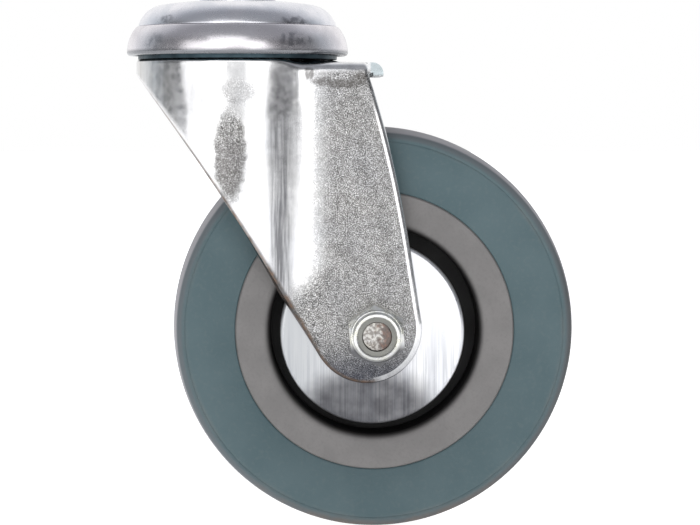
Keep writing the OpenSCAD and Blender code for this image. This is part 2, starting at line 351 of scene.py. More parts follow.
# %% Tyre
WHEEL_R = 50
RIM_R = 34.3
RIM_FACE = 14.5
RIB_R = 37.3
RIB_HALF = 5
TREAD_HALF = 12
TREAD_DROP = 1.1
TYRE_ROUND = 2
tread_bow_r = (TREAD_HALF ** 2 + TREAD_DROP ** 2) / (2 * TREAD_DROP)
tread_tilt = math.degrees(math.asin(TREAD_HALF / tread_bow_r))
tread_x = WHEEL_R - tread_bow_r
corner_r = tread_x + (tread_bow_r - TYRE_ROUND) * math.cos(math.radians(tread_tilt))
corner_h = (tread_bow_r - TYRE_ROUND) * math.sin(math.radians(tread_tilt))
wall_face = corner_h + TYRE_ROUND
MOULD_LINE_R = 46.6
MOULD_LINE_HALF = 0.15
MOULD_LINE_DEEP = 0.12
RIM_CHAMFER = 0.35


def both_sides(half):
    """Closes a section that is drawn for the nut side only with its mirror image."""
    return half + [(radius, -height) for radius, height in reversed(half)]


tyre_half = (
    [(RIB_R, RIB_HALF), (RIM_R, RIB_HALF + 1), (RIM_R, RIM_FACE - RIM_CHAMFER),
     (RIM_R + RIM_CHAMFER, RIM_FACE), (MOULD_LINE_R - 0.5, wall_face),
     (MOULD_LINE_R - MOULD_LINE_HALF, wall_face), (MOULD_LINE_R, wall_face - MOULD_LINE_DEEP),
     (MOULD_LINE_R + MOULD_LINE_HALF, wall_face)]
    + arc_points((corner_r, corner_h), TYRE_ROUND, 90, tread_tilt, 8)[1:]
    + arc_points((tread_x, 0), tread_bow_r, tread_tilt, 0, 6)[1:-1]
)
tyre = turned("rubber_tyre", both_sides(tyre_half), about_axle=True, steps=192)
attach(tyre, "wheel", "tyre_rubber", "tyre", sharp=50)

# %% Plastic centre
RECESS_R = 25.6
RECESS_LIP = 2.4
WEB_HALF = 5
HUB_R = 13
SHELL_R = 11.05
HUB_END = 15.5
centre_half = (
    [(SHELL_R, HUB_END), (HUB_R, HUB_END), (HUB_R, WEB_HALF), (RECESS_R, WEB_HALF)]
    + arc_points((RECESS_R + RECESS_LIP, RIM_FACE - RECESS_LIP), RECESS_LIP, 180, 90, 8)
    + [(RIM_R - PLAY - RIM_CHAMFER, RIM_FACE), (RIM_R - PLAY, RIM_FACE - RIM_CHAMFER),
       (RIM_R - PLAY, RIB_HALF + 1), (RIB_R - PLAY, RIB_HALF)]
)
wheel_centre = turned("plastic_centre", both_sides(centre_half), about_axle=True, steps=160)
attach(wheel_centre, "wheel", "centre_plastic", "wheel_centre")

# %% [markdown]
# ## Thread guards
# A thin steel disc on each side keeps thread and dust out of the bearing. Each is pressed from
# sheet with its rim turned in. The hole is larger than the bolt, so a guard sits a little to one
# side when the nut is done up.

# %% Guards
GUARD_R = 22.6
GUARD_T = 0.8
LEG_IN = 17.5
GUARD_RIM = 3.2
GUARD_HOLE_R = 5.2
GUARD_SIDEWAYS = -0.7
GUARD_BEND_OUT = 1.1
GUARD_BEND_IN = 0.3
guard_in_r = GUARD_R - GUARD_T
guard_in_face = LEG_IN - GUARD_T
guard_section = (
    [(GUARD_HOLE_R, LEG_IN - HAIR), (GUARD_HOLE_R, guard_in_face),
     (guard_in_r - GUARD_BEND_IN, guard_in_face), (guard_in_r, guard_in_face - GUARD_BEND_IN),
     (guard_in_r, LEG_IN - GUARD_RIM), (GUARD_R, LEG_IN - GUARD_RIM)]
    + arc_points((GUARD_R - GUARD_BEND_OUT, LEG_IN - GUARD_BEND_OUT - HAIR), GUARD_BEND_OUT, 0, 90, 8)
)
for name, node, side in (("near_disc", "near_guard", 1), ("far_disc", "far_guard", -1)):
    section = [(radius, side * height) for radius, height in guard_section]
    guard = turned(name, section, about_axle=True)
    edit_all()
    bpy.ops.transform.translate(value=(GUARD_SIDEWAYS * MM, 0, 0))
    bpy.ops.object.mode_set(mode="OBJECT")
    attach(guard, "fork_assembly", "guard_zinc", node)

# %% [markdown]
# ## The fork: its outline
# The fork is one pressing. A flat blank is cut, its middle is drawn into a round crown, and its
# sides are folded down into two legs that close in through a soft hollow. The wall of such a
# pressing can be unrolled, so a place on it has two coordinates: the way along the crown, seen
# from above, and the height. Edit-mode operators can't bend a wall along such a curve, with a
# rounded sheared edge that follows it, so this one mesh is laid out as rows and columns of points.
# The tongue, the holes and the second half are then made with operators again.

# %% The fork's plan, seen from above
CROWN_R = 25.2
HOLLOW_R = 20
LEG_Y = 20
hollow_x = math.sqrt((CROWN_R + HOLLOW_R) ** 2 - (LEG_Y + HOLLOW_R) ** 2)
hollow_angle = math.asin(hollow_x / (CROWN_R + HOLLOW_R))
crown_angle = math.pi / 2 + hollow_angle
crown_run = CROWN_R * crown_angle
hollow_run = HOLLOW_R * hollow_angle


def plan_at(run):
    """Place (x, y) and outward direction of the wall, at a distance along it from the front."""
    if run <= crown_run:
        angle = run / CROWN_R
        out = (-math.cos(angle), -math.sin(angle))
        return (CROWN_R * out[0], CROWN_R * out[1]), out
    if run <= crown_run + hollow_run:
        angle = hollow_angle - (run - crown_run) / HOLLOW_R
        out = (math.sin(angle), -math.cos(angle))
        return (hollow_x - HOLLOW_R * out[0], -LEG_Y - HOLLOW_R - HOLLOW_R * out[1]), out
    return (hollow_x + run - crown_run - hollow_run, -LEG_Y), (0, -1)


def run_at_x(x):
    """The distance along the wall at which its plan reaches x."""
    if x >= hollow_x:
        return crown_run + hollow_run + x - hollow_x
    tangent_x = CROWN_R * math.sin(hollow_angle)
    if x > tangent_x:
        return crown_run + HOLLOW_R * (hollow_angle - math.asin((hollow_x - x) / HOLLOW_R))
    return CROWN_R * math.acos(max(-1, min(1, -x / CROWN_R)))


print("wall from the front to the flat leg:", round(crown_run + hollow_run, 1), "mm")

# %% The fork's outline, seen from the side
FORK_TOP = -15.6
REAR_TOP = -16.3
LEG_END_R = 13.4
leg_end = (AXLE.x / MM - 2.05, AXLE.z / MM + 1.1)
FRONT_TURN = math.radians(61.5)
REAR_TURN = math.radians(7)
APRON = (-24.9, -19.9)
REAR_CORNER_X = 31.8
BEND_LEG = 2.7
BEND_CROWN = 0.8
SHEET = 2.5
FRONT_STEPS, END_STEPS, REAR_STEPS = 60, 48, 40
FRONT_BOW, REAR_BOW, REAR_SKEW = -1.9, 1.5, 1.25


def bowed(start, end, bow, steps, skew=1.0):
    """Points from start to end of a shallow arc that bulges to the right by bow."""
    across, down = end[0] - start[0], end[1] - start[1]
    length = math.hypot(across, down)
    points = []
    for i in range(steps + 1):
        share = i / steps
        lift = bow * 4 * share ** skew * (1 - share ** skew)
        points.append((start[0] + across * share + lift * down / length,
                       start[1] + down * share - lift * across / length))
    return points


front_foot = (leg_end[0] - LEG_END_R * math.sin(FRONT_TURN),
              leg_end[1] - LEG_END_R * math.cos(FRONT_TURN))
rear_foot = (leg_end[0] + LEG_END_R * math.cos(REAR_TURN),
             leg_end[1] + LEG_END_R * math.sin(REAR_TURN))
rear_corner = (REAR_CORNER_X, REAR_TOP - BEND_LEG)
front_edge = bowed(APRON, front_foot, FRONT_BOW, FRONT_STEPS)
end_arc = arc_points(leg_end, LEG_END_R, -90 - math.degrees(FRONT_TURN), math.degrees(REAR_TURN),
                     END_STEPS)
rear_edge = bowed(rear_foot, rear_corner, REAR_BOW, REAR_STEPS, REAR_SKEW)
side_outline = [(-CROWN_R, APRON[1])] + front_edge + end_arc[1:] + rear_edge[1:]
unrolled_outline = [(run_at_x(x), z) for x, z in side_outline]


def along(points, steps):
    """Points spaced evenly along a chain."""
    lengths = [0]
    for here, there in zip(points, points[1:]):
        lengths.append(lengths[-1] + math.dist(here, there))
    spaced, k = [], 0
    for i in range(steps + 1):
        target = lengths[-1] * i / steps
        while k < len(points) - 2 and lengths[k + 1] < target:
            k += 1
        share = (target - lengths[k]) / (lengths[k + 1] - lengths[k])
        spaced.append(tuple(a + (b - a) * share for a, b in zip(points[k], points[k + 1])))
    return spaced


def height_at(points, run):
    """Height of a chain where it passes a distance along the wall."""
    for here, there in zip(points, points[1:]):
        if here[0] <= run <= there[0]:
            return here[1] + (there[1] - here[1]) * (run - here[0]) / (there[0] - here[0])
    return points[-1][1]


# %% [markdown]
# ## The fork: rows and columns
# Columns run down from the top bend. Those of the crown are upright, and those of the leg fan out
# to its round end and its rear edge, so one row can follow the whole sheared edge. The last rows
# lie close together there, because a punch rolls that edge over by about a millimetre.

# %% Columns from the bend to the rim
UPRIGHT_TO_X = 19.8
upright_run = run_at_x(UPRIGHT_TO_X)
UPRIGHT_COLUMNS = 84
END_COLUMNS = 40
REAR_COLUMNS = 24
FAN_TOP_RUN = run_at_x(26)
ROLL_WIDE = 1.3
ROLL_DEEP = 1.0
ROLL_STEPS = 5
INSIDE_RIM = 2.1
TOP_STEPS = (0.35, 0.7, 1.1, 1.6, 2.2)
MIDDLE_ROWS = 34
TOP_DROPS_X = (11, 15)
BEND_GROWS_X = (8, 20)


def soft_step(low, high, value):
    """A smooth rise from 0 to 1 while value goes from low to high."""
    share = max(0, min(1, (value - low) / (high - low)))
    return share * share * (3 - 2 * share)


def top_at(run):
    """Height of the top face at a column."""
    low, high = (run_at_x(x) for x in TOP_DROPS_X)
    return FORK_TOP + (REAR_TOP - FORK_TOP) * soft_step(low, high, run)


def bend_at(run):
    """Outer radius of the top bend at a column."""
    low, high = (run_at_x(x) for x in BEND_GROWS_X)
    return BEND_CROWN + (BEND_LEG - BEND_CROWN) * soft_step(low, high, run)


# %% Where the columns start and end
upright = [upright_run * i / UPRIGHT_COLUMNS for i in range(UPRIGHT_COLUMNS + 1)]
front_outline = unrolled_outline[:FRONT_STEPS + 2]
rim_points = [(run, height_at(front_outline, run)) for run in upright]
rim_points += along([rim_points[-1]] + [(run_at_x(x), z) for x, z in end_arc], END_COLUMNS)[1:]
rim_points += along([(run_at_x(x), z) for x, z in rear_edge], REAR_COLUMNS)[1:]
fan = len(rim_points) - len(upright)
top_runs = upright + [upright_run + (FAN_TOP_RUN - upright_run) * (i + 1) / fan for i in range(fan)]


def inward(points, i):
    """Direction from the rim into the sheet, in the unrolled wall."""
    before, after = points[max(i - 1, 0)], points[min(i + 1, len(points) - 1)]
    across, down = after[0] - before[0], after[1] - before[1]
    length = math.hypot(across, down)
    return (-down / length, across / length) if i else (0, 1)


def column(i, bend, top_drop):
    """(run, height, distance from the rim) of each point from the bend down to the rim."""
    rim, into = rim_points[i], inward(rim_points, i)
    foot = (rim[0] + into[0] * INSIDE_RIM, rim[1] + into[1] * INSIDE_RIM)
    head = (top_runs[i], top_at(top_runs[i]) - top_drop - bend)
    reach = math.dist(head, foot)
    shares = [0] + [step * min(1, 0.5 * reach / TOP_STEPS[-1]) / reach for step in TOP_STEPS]
    shares += [shares[-1] + (1 - shares[-1]) * (k + 1) / MIDDLE_ROWS for k in range(MIDDLE_ROWS)]
    points = [(head[0] + (foot[0] - head[0]) * s, head[1] + (foot[1] - head[1]) * s, INSIDE_RIM)
              for s in shares]
    for k in range(ROLL_STEPS + 1):
        distance = ROLL_WIDE * (1 - math.sin(math.pi / 2 * k / ROLL_STEPS))
        points.append((rim[0] + into[0] * distance, rim[1] + into[1] * distance, distance))
    return points


print("fork columns:", len(top_runs), "rows:", len(column(0, BEND_CROWN, 0)))

# %% [markdown]
# ## The fork: how deep the press pushes
# The crown isn't a plain cylinder. It closes in a little below the ring and again towards the
# wheel. A long shallow dent lies in the middle of its side with a low crest behind it, and a bead
# follows the top of the leg. These are fractions of a millimetre, but bright plated steel shows
# every one. Each mark is a spot: x, z, half width, half height, all in mm.

# %% Press marks
DENT = (-4.6, -39.0, 2.1, 8.0)
DENT_DEPTH = 0.16
CREST = (-2.0, -40.5, 1.3, 8.5)
CREST_HEIGHT = 0.10
BEAD = (24.5, REAR_TOP - BEND_LEG - 0.75, 6.5, 0.42)
BEAD_HEIGHT = 0.09
CLOSING_ABOVE = (0.17, -30, -16)
CLOSING_BELOW = (0.26, -42, -72)


def bell(x, z, spot, power=1):
    """1 in the middle of a spot, fading to 0 outside it, more steeply at a higher power."""
    reach = ((x - spot[0]) / spot[2]) ** 2 + ((z - spot[1]) / spot[3]) ** 2
    return math.exp(-reach ** power)


def closing(z):
    """How far the bulge of the crown closes in at a height, as a share."""
    shares = [share * soft_step(low, high, z) for share, low, high in (CLOSING_ABOVE, CLOSING_BELOW)]
    return sum(shares)


def pressed_depth(x, y, z):
    """How far the press moves the wall inwards along Y."""
    bulge = max(0, -y - LEG_Y)
    depth = closing(z) * bulge * bulge / (bulge + 1)
    depth += DENT_DEPTH * bell(x, z, DENT, 3) - CREST_HEIGHT * bell(x, z, CREST)
    depth -= BEAD_HEIGHT * bell(x, z, BEAD)
    return depth


def wall_place(run, z, depth):
    """A point at a depth below the wall's outer face, after pressing."""
    (x, y), out = plan_at(run)
    y += pressed_depth(x, y, z)
    return (x - out[0] * depth, y - out[1] * depth, z)


# %% [markdown]
# ## The fork: putting the sheet together
# The sheet has two faces, the outer one and the inner one 2.5 mm behind it. Each is the wall, the
# bend and the top plate. The plate's inner edge follows the round hole for the sleeve and then the
# middle plane, where the mirrored half joins on. Strips of quads close the rim between the faces.

# %% The plate on top
HOLE_R = 9.5
BEND_STEPS = 6
PLATE_SHARES = (0.07, 0.12, 0.19, 0.3, 0.45, 0.6, 0.8, 1)
TONGUE_HALF = 14
INNER_BEND = 0.3
PLATE_BEHIND_R = (24, 26.5)
PLATE_BEHIND_X = (10, 16)
TONGUE_FLAT = (TONGUE_HALF - 0.1, TONGUE_HALF + 1.2)
fork_points, fork_faces, rim_marks = [], [], []


def roll_depth(distance):
    """How far the punch rolls the outer face over, at a distance from the sheared edge."""
    if distance >= ROLL_WIDE:
        return 0
    return ROLL_DEEP * (1 - math.sqrt(max(0, 1 - (1 - distance / ROLL_WIDE) ** 2)))


def add_point(place, rim_distance):
    """Adds a point in mm and its rim mark: 1 on the sheared edge, 0 away from it."""
    fork_points.append([c * MM for c in place])
    rim_marks.append(max(0, 1 - rim_distance / INSIDE_RIM))
    return len(fork_points) - 1


def plate_inner_edge(run):
    """Where a column of the plate ends: on the round hole, or on the middle plane behind it."""
    flat_run = run_at_x(hollow_x)
    if run <= flat_run:
        if run <= crown_run:
            angle = run / CROWN_R
        else:
            angle = crown_angle + (math.pi - crown_angle) * (run - crown_run) / hollow_run
        return (-HOLE_R * math.cos(angle), -HOLE_R * math.sin(angle))
    share = (run - flat_run) / (run_at_x(REAR_CORNER_X) - flat_run)
    return (HOLE_R + (REAR_CORNER_X - HOLE_R) * share, 0)


def top_height(x, y, drop):
    """The round crown stands a little higher than the plate behind it."""
    behind = soft_step(*PLATE_BEHIND_R, math.hypot(x, y)) * soft_step(*PLATE_BEHIND_X, x)
    return FORK_TOP + (REAR_TOP - FORK_TOP) * behind - drop


# %% Put the faces together
def top_line(head, join, depth, bend):
    """Point numbers from the wall, over the bend and along the plate to its inner edge."""
    run, z, rim = head
    roll = 0 if depth else roll_depth(rim)
    (x, y), out = plan_at(run)
    y += pressed_depth(x, y, z)
    line = [join]
    for k in range(1, BEND_STEPS + 1):
        turn = math.pi / 2 * k / BEND_STEPS
        back = depth + bend * (1 - math.cos(turn)) + roll * math.cos(turn)
        up = bend * math.sin(turn) - roll * math.sin(turn)
        lift = (top_height(x, y, depth) - z - bend) * math.sin(turn)
        line.append(add_point((x - out[0] * back, y - out[1] * back, z + up + lift), rim))
    edge_x, edge_y = x - out[0] * (depth + bend), y - out[1] * (depth + bend)
    end_x, end_y = plate_inner_edge(run)
    for share in PLATE_SHARES:
        px, py = edge_x + (end_x - edge_x) * share, edge_y + (end_y - edge_y) * share
        kept = roll * soft_step(*TONGUE_FLAT, -py)
        line.append(add_point((px, py, top_height(px, py, depth) - kept), INSIDE_RIM))
    return line


def build_face(depth, bend_of):
    """Adds one face of the sheet, and returns the point numbers of its wall and of its top."""
    columns = [column(i, bend_of(run), depth) for i, run in enumerate(top_runs)]
    wall = [[add_point(wall_place(run, z, depth + (0 if depth else roll_depth(rim))), rim)
             for run, z, rim in points] for points in columns]
    heads = [points[0] for points in columns] + columns[-1][1:]
    joins = [line[0] for line in wall] + wall[-1][1:]
    top = [top_line(head, join, depth, bend_of(head[0])) for head, join in zip(heads, joins)]
    return wall, top


def add_quads(first, second):
    """Joins two lines of points with a strip of faces."""
    for a, b, c, d in zip(first, first[1:], second[1:], second):
        fork_faces.append((a, b, c, d))


def inner_bend_at(run):
    return max(INNER_BEND, bend_at(run) - SHEET)


outer_wall, outer_top = build_face(0, bend_at)
inner_wall, inner_top = build_face(SHEET, inner_bend_at)
for face in (outer_wall, outer_top, inner_wall, inner_top):
    for first, second in zip(face, face[1:]):
        add_quads(first, second)
add_quads([line[-1] for line in outer_wall], [line[-1] for line in inner_wall])
add_quads(outer_top[-1], inner_top[-1])
hole_edge = 1 + sum(1 for run in top_runs if run <= run_at_x(hollow_x))
add_quads([line[-1] for line in outer_top[:hole_edge]], [line[-1] for line in inner_top[:hole_edge]])

fork_mesh = bpy.data.meshes.new("fork_shell")
fork_mesh.from_pydata(fork_points, [], fork_faces)
fork = into_scene("fork_shell", fork_mesh)
mark_layer = fork_mesh.attributes.new("rim", "FLOAT", "POINT")
mark_layer.data.foreach_set("value", rim_marks)
print("half a fork:", len(fork_points), "points")

# %% [markdown]
# ## The fork: second half, tongue and holes
# A Mirror modifier makes the other half. The rear end faces of the plate are then extruded into
# the tongue, and spun down a quarter turn into its rolled lip. Two holes through the legs take the
# axle bolt.

# %% Mirror
MIRROR_GAP = 0.01 * MM
make_active(fork)
mirror = fork.modifiers.new("mirror", "MIRROR")
mirror.use_axis = (False, True, False)
mirror.merge_threshold = MIRROR_GAP
bpy.ops.object.modifier_apply(modifier="mirror")
bpy.ops.object.mode_set(mode="EDIT")
merge_and_face_out()

# %% Tongue with its rolled lip
TONGUE_X = 33.1
LIP_R = 2.7
LIP_END = 0.7
LIP_STEPS = 7
NEAR = 0.2


def select_faces(piece, wanted):
    """Selects the faces for which wanted(centre in mm, normal) is true, in edit mode."""
    bpy.ops.mesh.select_mode(type="FACE")
    bpy.ops.mesh.select_all(action="DESELECT")
    bpy.ops.object.mode_set(mode="OBJECT")
    picked = 0
    for face in piece.data.polygons:
        face.select = wanted(face.center / MM, face.normal)
        picked += face.select
    bpy.ops.object.mode_set(mode="EDIT")
    return picked


def is_tongue_root(centre, normal):
    """The end faces of the top plate, which look backwards."""
    at_end = centre.x > REAR_CORNER_X - NEAR and centre.z > REAR_TOP - SHEET - NEAR
    return normal.x > 0.9 and abs(centre.y) < TONGUE_HALF and at_end


picked = select_faces(fork, is_tongue_root)
tongue_way = ((TONGUE_X - REAR_CORNER_X) * MM, 0, 0)
bpy.ops.mesh.extrude_region_move(TRANSFORM_OT_translate={"value": tongue_way})
bpy.ops.mesh.spin(steps=LIP_STEPS, angle=math.pi / 2, axis=(0, -1, 0),
                  center=(TONGUE_X * MM, 0, (REAR_TOP - LIP_R) * MM))
bpy.ops.mesh.extrude_region_move(TRANSFORM_OT_translate={"value": (0, 0, -LIP_END * MM)})
bpy.ops.mesh.select_mode(type="VERT")
merge_and_face_out()
bpy.ops.object.mode_set(mode="OBJECT")
print("tongue made from", picked, "faces")

# %% Axle holes
AXLE_HOLE_R = 4.15
DRILL_LENGTH = 50
deselect_all()
bpy.ops.mesh.primitive_cylinder_add(vertices=48, radius=AXLE_HOLE_R * MM, depth=DRILL_LENGTH * MM,
                                    location=AXLE, rotation=(math.pi / 2, 0, 0))
apply_boolean(fork, bpy.context.object, "DIFFERENCE")
attach(fork, "fork_assembly", "fork_zinc", "fork", sharp=40)

# %% [markdown]
# ## Axle bolt and lock nut
# The nut is turned first, with its chamfer, its rolled collar and its bore, and is then cut to a
# hexagon by a Boolean with a six-sided prism. That is the order in which a chamfered hexagon gets
# its curved corner lines. The bolt's head is made in the same way and joined to a turned shank.

# %% Hexagon cut
HEX_FLATS = 13
HEX_TURN = 5
PRISM_LENGTH = 80


def cut_to_hexagon(piece):
    """Keeps what lies inside a six-sided prism round the axle."""
    deselect_all()
    bpy.ops.mesh.primitive_cylinder_add(
        vertices=6, radius=HEX_FLATS / math.sqrt(3) * MM, depth=PRISM_LENGTH * MM,
        location=AXLE, rotation=(math.pi / 2, math.radians(-HEX_TURN), 0))
    apply_boolean(piece, bpy.context.object, "INTERSECT")


# %% Lock nut
NUT_HEX_END = LEG_Y + 6.3
NUT_END = LEG_Y + 8
NUT_BORE_R = 4.03
CORNER_R = 7.6
COLLAR_R = 5.75
COLLAR_ROLL_R = 0.55
INSERT_R = 4.9
INSERT_SEAT = LEG_Y + 5.45
nut_section = (
    [(NUT_BORE_R, LEG_Y + HAIR), (7.0, LEG_Y + HAIR), (CORNER_R, LEG_Y + 0.5),
     (CORNER_R, NUT_HEX_END - 1.0), (6.35, NUT_HEX_END - 0.15)]
    + arc_points((5.95, NUT_HEX_END - 0.1), 0.35, 40, 90, 3)
    + [(COLLAR_R, NUT_HEX_END + 0.45)]
    + arc_points((COLLAR_R - COLLAR_ROLL_R, NUT_END - COLLAR_ROLL_R), COLLAR_ROLL_R, 0, 180, 10)
    + [(4.62, NUT_END - 0.9), (INSERT_R, NUT_END - 1.3), (INSERT_R, INSERT_SEAT),
       (NUT_BORE_R, INSERT_SEAT)]
)
nut = turned("nut", nut_section, about_axle=True, steps=96)
cut_to_hexagon(nut)
attach(nut, "fork_assembly", "bolt_zinc", "lock_nut", sharp=30)

# %% Axle bolt
BOLT_R = 4
BOLT_END = LEG_Y + 6.5
HEAD_H = 5.3
HEAD_FACE_R = 6.25
DISH_DEEP = 0.25
END_ROUND = 0.9
head_top = -LEG_Y - HEAD_H
head_section = [
    (0, -LEG_Y - HAIR), (6.3, -LEG_Y - HAIR), (6.4, -LEG_Y - 0.4), (CORNER_R, -LEG_Y - 0.42),
    (CORNER_R, head_top + 0.9), (HEAD_FACE_R, head_top), (3.6, head_top),
    (3.3, head_top + DISH_DEEP), (0, head_top + DISH_DEEP),
]
bolt = turned("bolt", head_section, about_axle=True, steps=96)
cut_to_hexagon(bolt)
shank_section = (
    [(0, -LEG_Y - 0.6), (BOLT_R, -LEG_Y - 0.6), (BOLT_R, BOLT_END - 0.75)]
    + arc_points((BOLT_R - END_ROUND, BOLT_END - 0.75), END_ROUND, 0, 75, 5)[1:]
    + [(2.6, BOLT_END - HAIR), (1.2, BOLT_END - 0.12), (0, BOLT_END - 0.15)]
)
shank = turned("shank", shank_section, about_axle=True, steps=96)
apply_boolean(bolt, shank, "UNION")
attach(bolt, "fork_assembly", "bolt_zinc", "axle_bolt", sharp=30)

# %% [markdown]
# ## Finishes
# Each finish is a small tree of nodes on one Principled shader. Two classes keep the code short:
# `add` makes a node and feeds its inputs, `paint` lays one colour over those before it, and
# `relief` puts one bump on top of the last. All patterns use object coordinates, so one pattern has
# the same scale on every piece. Lengths are given in mm.

# %% A short way to make nodes
class Nodes:
    def __init__(self, tree):
        self.tree = tree

    def feed(self, node, inputs):
        """Sets a node's inputs, or links them to other nodes' outputs."""
        for name, value in inputs.items():
            socket = node.inputs[name.replace("_", " ") if isinstance(name, str) else name]
            if isinstance(value, bpy.types.NodeSocket):
                self.tree.links.new(value, socket)
            else:
                socket.default_value = value

    def add(self, kind, inputs, output=0, **settings):
        """Makes a node and returns one of its outputs."""
        node = self.tree.nodes.new("ShaderNode" + kind)
        for name, value in settings.items():
            setattr(node, name, value)
        self.feed(node, inputs)
        return node.outputs[output]

    def maths(self, operation, *values):
        return self.add("Math", dict(enumerate(values)), operation=operation)

    def vector(self, operation, *values, output=0):
        return self.add("VectorMath", dict(enumerate(values)), output, operation=operation)

    def times(self, first=1.0, *others):
        """The product of values and numbers."""
        for other in others:
            first = self.maths("MULTIPLY", first, other)
        return first

    def fade(self, value, low, high, start=0.0, end=1.0):
        """A smooth change from start to end while value goes from low to high."""
        inputs = {"Value": value, "From_Min": low, "From_Max": high, "To_Min": start, "To_Max": end}
        return self.add("MapRange", inputs, "Result", interpolation_type="SMOOTHSTEP")

    def blend(self, share, first, second, way="MIX"):
        """One colour laid over another, by a share from 0 to 1."""
        first, second = ((*c, 1) if isinstance(c, tuple) else c for c in (first, second))
        return self.add("Mix", {0: share, 6: first, 7: second}, 2, data_type="RGBA", blend_type=way)

    def steps(self, value, stops):
        """A value from 0 to 1 turned into colours, or greys, by a ramp of (position, colour)."""
        node = self.add("ValToRGB", {"Fac": value}).node
        elements = node.color_ramp.elements
        while len(elements) < len(stops):
            elements.new(0.5)
        for element, (position, colour) in zip(elements, stops):
            element.position = position
            element.color = (*colour, 1) if isinstance(colour, tuple) else (colour, colour, colour, 1)
        return node.outputs["Color"]


# %% A short way to write materials
class Finish(Nodes):
    def __init__(self, name, tone=None, **shader_inputs):
        self.material = bpy.data.materials.new(name)
        self.material.use_nodes = True
        super().__init__(self.material.node_tree)
        self.shader = self.tree.nodes["Principled BSDF"]
        self.place = self.add("TexCoord", {}, "Object")
        self.tone = tone
        self.normal = None
        self.feed(self.shader, shader_inputs)

    def noise(self, size, detail=3.0, stretch=None, rough=0.5):
        """Soft random spots of about a size in mm, from 0 to 1."""
        place = self.place
        if stretch:
            place = self.add("Mapping", {"Vector": place, "Scale": stretch})
        return self.add("TexNoise", {"Vector": place, "Scale": 1 / (size * MM), "Detail": detail,
                                     "Roughness": rough})

    def paint(self, colour, *shares, way="MIX"):
        """Lays a colour over the finish so far, as strongly as the product of the shares says."""
        self.tone = self.blend(self.times(*shares), self.tone, colour, way)

    def relief(self, height, depth):
        """Adds bump from a height between 0 and 1, with its full depth in mm."""
        inputs = {"Height": height, "Distance": depth * MM, "Strength": 1.0}
        if self.normal:
            inputs["Normal"] = self.normal
        self.normal = self.add("Bump", inputs)

    def complete(self, roughness):
        """Feeds the painted colour, the relief and a roughness to the shader."""
        self.feed(self.shader, {"Base_Color": self.tone, "Roughness": roughness, "Normal": self.normal})
        return self

    def xyz(self):
        """The three coordinates of the place, in mm."""
        place = self.vector("MULTIPLY", self.place, [1 / MM] * 3)
        return list(self.add("SeparateXYZ", {0: place}).node.outputs)

    def spot(self, centre, size, wobble=0.25):
        """1 inside an uneven oval spot and 0 outside, with centre and half sizes in mm."""
        pull = max(size) * wobble * 2 * MM
        ragged = self.add("TexNoise", {"Vector": self.place, "Scale": 1 / (2.5 * MM), "Detail": 3.0}, 1)
        shifted = self.vector("MULTIPLY_ADD", ragged, [pull] * 3, self.place)
        away = self.vector("SUBTRACT", shifted, [c * MM + pull / 2 for c in centre])
        scaled = self.vector("DIVIDE", away, [s * MM for s in size])
        return self.fade(self.vector("LENGTH", scaled, output="Value"), 1.15, 0.6)

    def from_axle(self):
        """Distance from the wheel's axis, in mm."""
        x, _, z = self.xyz()
        across = self.maths("SUBTRACT", x, AXLE.x / MM)
        up = self.maths("SUBTRACT", z, AXLE.z / MM)
        return self.maths("SQRT", self.maths("MULTIPLY_ADD", across, across, self.times(up, up)))

    def give_to(self, *pieces):
        for piece in pieces:
            piece.data.materials.clear()
            piece.data.materials.append(self.material)


# %% [markdown]
# ## The fork's zinc plate
# Bright zinc shows what happened to the sheet below it. Where the sheet stayed flat, the plating is
# a fine grey spangle. Where it was stretched or bent against the tool, it is smooth and bright. So
# the grain is strong on the flat leg and in an oval in the middle of the crown, and fades elsewhere.

# %% Fork: where the grain is
BRIGHT_ZINC = (0.92, 0.92, 0.925)
REAR_BAND_X = (31, 36)
LEG_GRAIN_X = (14.5, 27.5)
BEND_END_Z = (-17.4, -19.4)
GRAIN_WIDENS_Z = (-64, -80)
GRAIN_WIDENS_BY = 11
EDGE_RAGGED = 3
UPPER_PATCH_SHARE = 0.5
zinc = Finish("fork_zinc_plate", BRIGHT_ZINC, Metallic=1.0)
x, y, z = zinc.xyz()
near_rim = zinc.add("Attribute", {}, "Fac", attribute_name="rim")
rear_band = zinc.times(zinc.fade(near_rim, 0.2, 0.4), zinc.fade(x, *REAR_BAND_X))
ragged_x = zinc.maths("MULTIPLY_ADD", zinc.noise(1.0), EDGE_RAGGED, x)
toward_front = zinc.fade(z, *GRAIN_WIDENS_Z, 0, GRAIN_WIDENS_BY)
flat_leg = zinc.times(zinc.fade(zinc.maths("ADD", ragged_x, toward_front), *LEG_GRAIN_X),
                      zinc.fade(z, *BEND_END_Z), zinc.fade(rear_band, 0, 1, 1, 0))
oval = zinc.spot((-1.3, -25, -38.5), (4.5, 9, 12.5), 0.12)
upper_patch = zinc.times(zinc.spot((0.5, -25, -23.5), (4.6, 8, 3.8), 0.3), UPPER_PATCH_SHARE)
grainy = zinc.maths("MAXIMUM", flat_leg, zinc.maths("MAXIMUM", oval, upper_patch))

